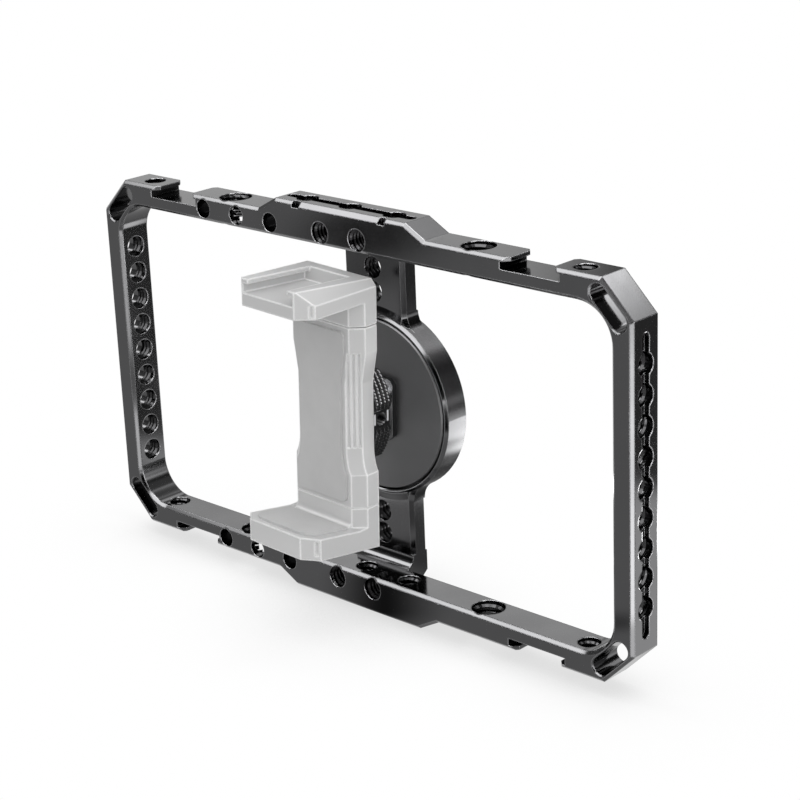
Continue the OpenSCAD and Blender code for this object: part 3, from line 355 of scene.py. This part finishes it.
def metal(name, colour, rough, rounding=0.00022, bump=0.05, turned=False, metallic=1.0, edge_highlight_gain=1.0,
          uneven=0.25, level=0.5, sharp=0.90, housing=False, teeth=False, hollow_shade=None, only_local=True,
          grazing=1.0):
    """Anodised or plain metal: rounded edges, fine blasted grain, uneven gloss, painted highlights along edges
    and tooth tips, and painted shade in hollows.
    """
    mat = bpy.data.materials.new(name)
    mat.use_nodes = True
    m = Nodes(mat.node_tree)
    place = m.add("TexCoord").outputs["Object"]
    fine = m.noise(place, METAL_GRAIN, 2.0)
    broad = m.noise(place, METAL_PATCHES, 4.0)
    px, py, pz = m.split(place)
    pz = m.less(pz, CAGE_MIDDLE * MM)
    radius = m.size(px, pz)
    shader = m.add("BsdfPrincipled")

    edge = m.rounded(rounding)
    if housing:
        # plate and housing stand behind the rails and have crisper edges
        m.put(edge.inputs["Radius"], m.step(py, *PLATE_FRONT, rounding, PLATE_ROUNDING))
    height = fine
    if turned:
        rings = m.math("SINE", m.times(radius, 2 * math.pi / TURNING_PITCH))
        height = m.math("MULTIPLY_ADD", rings, TURNING_DEPTH, fine)
    m.put(shader.inputs["Normal"], m.bump(height, bump, METAL_RELIEF, edge.outputs[0]))

    # painted highlights: edges are lighter where the rounded normal leaves the flat one
    bend = m.add("VectorMath", operation="DOT_PRODUCT")
    m.put(bend.inputs[0], edge.outputs[0])
    m.put(bend.inputs[1], m.add("NewGeometry").outputs["Normal"])
    edge_highlight = m.times(m.step(bend.outputs["Value"], EDGE_FLAT, sharp), m.step(broad, 0.2, 0.6, 0.7, 1.0))
    if teeth:
        # painted glints on the tooth tips and painted highlight bars beside the cross hole
        tip_glints, highlight_bars = tooth_glints(m, px, py, pz)
        edge_highlight = m.math("MAXIMUM", m.times(edge_highlight, TOOTH_EDGE_SHARE), m.math("MAXIMUM", tip_glints, highlight_bars))
    tint = m.blend(m.step(broad, 0.3, 0.7, 0.0, uneven), (*colour, 1), scaled(colour, 0.8))
    shade = m.blend(edge_highlight, tint, scaled(colour, edge_highlight_gain))
    if hollow_shade:
        # painted shade: bores, slots and grooves are darkened inside, as far as ambient occlusion finds them
        # closed in
        occlusion = m.add("AmbientOcclusion", samples=8, only_local=only_local)
        occlusion.inputs["Distance"].default_value = HOLLOW_SHADE_REACH
        unshaded = m.step(occlusion.outputs["AO"], *hollow_shade)
        if teeth:
            # the painted glints on the tooth tips stay out of the painted shade
            unshaded = m.math("MAXIMUM", unshaded, tip_glints)
        shade = m.blend(unshaded, HOLLOW_SHADE_COLOUR, shade)
    m.put(shader.inputs["Base Color"], shade)

    gloss = m.step(broad, 0.25, 0.75, rough - GLOSS_SPREAD, rough + GLOSS_SPREAD)
    if housing:
        # the round wall is turned, so its marks spread the light more
        gloss = m.math("MULTIPLY_ADD", m.span(radius, *HOUSING_WALL), HOUSING_SPREAD, gloss)
    m.put(shader.inputs["Roughness"], m.math("MULTIPLY_ADD", m.less(fine, 0.5), GRAIN_SPREAD, gloss))
    shader.inputs["Metallic"].default_value = metallic
    # the painted glints and edge highlights on the toothed block are matt, so the plain light brightens them
    if teeth:
        m.put(shader.inputs["Metallic"], m.less(1.0, edge_highlight))
    shader.inputs["Specular IOR Level"].default_value = level
    shader.inputs["Specular Tint"].default_value = (grazing, grazing, grazing, 1)
    m.finish("OutputMaterial", shader)
    return mat


def soft(name, colour, rough, grain=1400.0, bump=0.25):
    """Rubber or plastic with a fine moulded grain."""
    mat = bpy.data.materials.new(name)
    mat.use_nodes = True
    m = Nodes(mat.node_tree)
    place = m.add("TexCoord").outputs["Object"]
    cells = m.add("TexVoronoi", feature="SMOOTH_F1")
    m.put(cells.inputs["Vector"], place)
    cells.inputs["Scale"].default_value = grain
    broad = m.noise(place, RUBBER_PATCHES, 4.0)
    shader = m.add("BsdfPrincipled")
    normal = m.rounded(RUBBER_ROUNDING).outputs[0]
    m.put(shader.inputs["Normal"], m.bump(cells.outputs["Distance"], bump, RUBBER_RELIEF, normal))
    m.put(shader.inputs["Base Color"], m.blend(m.step(broad, 0.3, 0.7), (*colour, 1), scaled(colour, 0.95)))
    m.put(shader.inputs["Roughness"], m.step(broad, 0.3, 0.7, rough - RUBBER_SPREAD, rough + RUBBER_SPREAD))
    shader.inputs["Specular IOR Level"].default_value = 0.15
    m.finish("OutputMaterial", shader)
    return mat


# the edge figures set how much lighter the painted edge highlights are; the hollow figures set the painted
# shade in hollows
MATERIALS = {
    "cage_black": metal("anodised_black", (0.088, 0.088, 0.090), 0.12, rounding=0.0005, edge_highlight_gain=3.2,
                        housing=True, hollow_shade=(0.30, 0.64)),
    "disc_black": metal("turned_black", (0.104, 0.104, 0.106), 0.42, turned=True, edge_highlight_gain=2.2),
    "wheel_black": metal("toothed_black", (0.10, 0.10, 0.102), 0.2, rounding=0.00010, edge_highlight_gain=9.0,
                         teeth=True, hollow_shade=(0.30, 0.62)),
    "steel_dark": metal("dark_steel", (0.30, 0.30, 0.31), 0.26, rounding=0.00012),
    "steel_bright": metal("bright_steel", (0.62, 0.62, 0.63), 0.20, rounding=0.00012),
    "clamp_grey": metal("light_grey", (0.60, 0.60, 0.60), 0.32, rounding=0.0008, metallic=0.0, bump=0.1,
                        edge_highlight_gain=1.7, uneven=0.06, level=0.45, sharp=0.97),
    "pad_grey": soft("rubber_grey", (0.58, 0.58, 0.58), 0.62),
    "slip_white": soft("slip_plastic", (0.72, 0.70, 0.64), 0.45, grain=900.0, bump=0.1),
}
THREAD = metal("thread_black", (0.038, 0.038, 0.039), 0.14, rounding=0.00004,
               hollow_shade=(0.22, 0.60), only_local=False, grazing=0.1)
slots = {p["node"]: p["material_slot"] for p in frame["record"]["subparts"]}
for name, obj in frame["nodes"].items():
    obj.data.materials.clear()
    obj.data.materials.append(MATERIALS[slots[name]])
    # the photograph's clamp is ghosted and its disc even, so nothing mirrors the clamp and the toothed block
    if slots[name] in ("clamp_grey", "pad_grey") or name in ("lock_wheel", "clamp_washer"):
        obj.visible_glossy = False


# Thread ridges in the holes. Sizes are in millimetres: radius of the bore, height of the ridge, pitch.
SMALL_THREAD = (3.175, 0.62, 1.27)
LARGE_THREAD = (4.7625, 0.78, 1.5875)
THREAD_STEPS = 28                       # points in a turn
THREAD_ROOT = 0.03                      # the ridge's foot lies this far in the wall
THREAD_FOOT, THREAD_TIP = 0.42, 0.07    # half widths of the ridge, as shares of the pitch
THREAD_START, THREAD_ENDS = 0.45, 0.9   # room at the start and at both ends, in turns
THREAD_FADE = 0.4                       # turns over which the ridge rises
THREAD_TURN = 1.3                       # each hole's thread starts at another angle
# The holes, in millimetres from the middle of the cage's front plane
RAIL_MID, RAIL_INNER, ARM_INNER, PLATE_FACE = 51.6, 48.1, 93.3, 13.2
PIN_HOLE_X, PIN_HOLE_RADIUS = -40.75, 2.8
HUMP_THREADS_X, TOP_HUMP, BOTTOM_HUMP = (-16.5, 0.0, 16.5), 9.2, 10.8
CORNER_THREAD_X, WIDE_THREAD_X, RAIL_THREAD_LENGTH = 81.5, 46.3, 7.0
FRONT_THREAD_X, FRONT_THREAD_Y, FRONT_THREAD_LENGTH = 7.0, 0.15, 11.5
PLATE_THREADS_Z, PLATE_THREAD_LENGTH = (33.1, 40.0), 5.5
ARM_THREADS, ARM_THREAD_STEP, ARM_THREAD_LENGTH = 9, 8.27, 5.0
CROSSING = [row(PIN_HOLE_X, RAIL_MIDDLE, z * RAIL_MID) for z in (1, -1)]


def thread(bm, centre, axis, sizes, length, start):
    """A helical ridge inside a bore: it stands in from the wall, and ends at a pin hole that crosses."""
    radius, depth, pitch = (v * MM for v in sizes)
    axis = Vector(axis).normalized()
    side = axis.orthogonal().normalized()
    other = axis.cross(side)
    turns = length * MM / pitch - THREAD_ENDS
    count = max(2, int(turns * THREAD_STEPS))
    root = radius + THREAD_ROOT * MM
    rings = []
    for i in range(count + 1):
        angle = 2 * math.pi * i / THREAD_STEPS + start
        way = side * math.cos(angle) + other * math.sin(angle)
        mid = centre + axis * (pitch * (THREAD_START + i / THREAD_STEPS))
        rise = THREAD_STEPS * THREAD_FADE
        tip = radius - depth * min(1.0, i / rise, (count - i) / rise)
        rings.append([bm.verts.new(mid + axis * (pitch * share) + way * r) for share, r in
                      ((-THREAD_FOOT, root), (-THREAD_TIP, tip), (THREAD_TIP, tip), (THREAD_FOOT, root))])
    for a, b in zip(rings, rings[1:]):
        mid = (a[1].co + b[1].co) / 2
        if any(math.hypot(mid.x - hole.x, mid.z - hole.z) < PIN_HOLE_RADIUS * MM for hole in CROSSING):
            continue
        for k in range(3):
            bm.faces.new((a[k], a[k + 1], b[k + 1], b[k]))


def threads(name, holes):
    """The thread ridges of several holes as one piece: centre, axis, sizes and length of each."""
    bm = bmesh.new()
    for i, hole in enumerate(holes):
        thread(bm, *hole, i * THREAD_TURN)
    data = bpy.data.meshes.new(name)
    bm.to_mesh(data)
    bm.free()
    obj = bpy.data.objects.new(name, data)
    scene.collection.objects.link(obj)
    data.materials.append(THREAD)
    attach(obj, "cage")


rail, wide, arm, plate = [], [], [], []
for z, hump in ((1, TOP_HUMP), (-1, BOTTOM_HUMP)):
    upright = (0, 0, z)
    for x in HUMP_THREADS_X:
        rail.append((row(x, RAIL_MIDDLE, z * RAIL_INNER), upright, SMALL_THREAD, hump))
    for x in (-1, 1):
        corner = row(x * CORNER_THREAD_X, RAIL_MIDDLE, z * RAIL_INNER)
        rail.append((corner, upright, SMALL_THREAD, RAIL_THREAD_LENGTH))
        beside = row(x * WIDE_THREAD_X, RAIL_MIDDLE, z * RAIL_INNER)
        wide.append((beside, upright, LARGE_THREAD, RAIL_THREAD_LENGTH))
        front = row(x * FRONT_THREAD_X, FRONT_THREAD_Y, z * RAIL_MID)
        rail.append((front, (0, 1, 0), SMALL_THREAD, FRONT_THREAD_LENGTH))
    for k in PLATE_THREADS_Z:
        plate.append((row(0, PLATE_FACE, z * k), (0, 1, 0), SMALL_THREAD, PLATE_THREAD_LENGTH))
for x in (-1, 1):
    for i in range(ARM_THREADS):
        level = (i - (ARM_THREADS - 1) / 2) * ARM_THREAD_STEP
        arm.append((row(x * ARM_INNER, RAIL_MIDDLE, level), (x, 0, 0), SMALL_THREAD, ARM_THREAD_LENGTH))
threads("rail_thread_turns", rail)
threads("wide_thread_turns", wide)
threads("arm_thread_turns", arm)
threads("plate_thread_turns", plate)
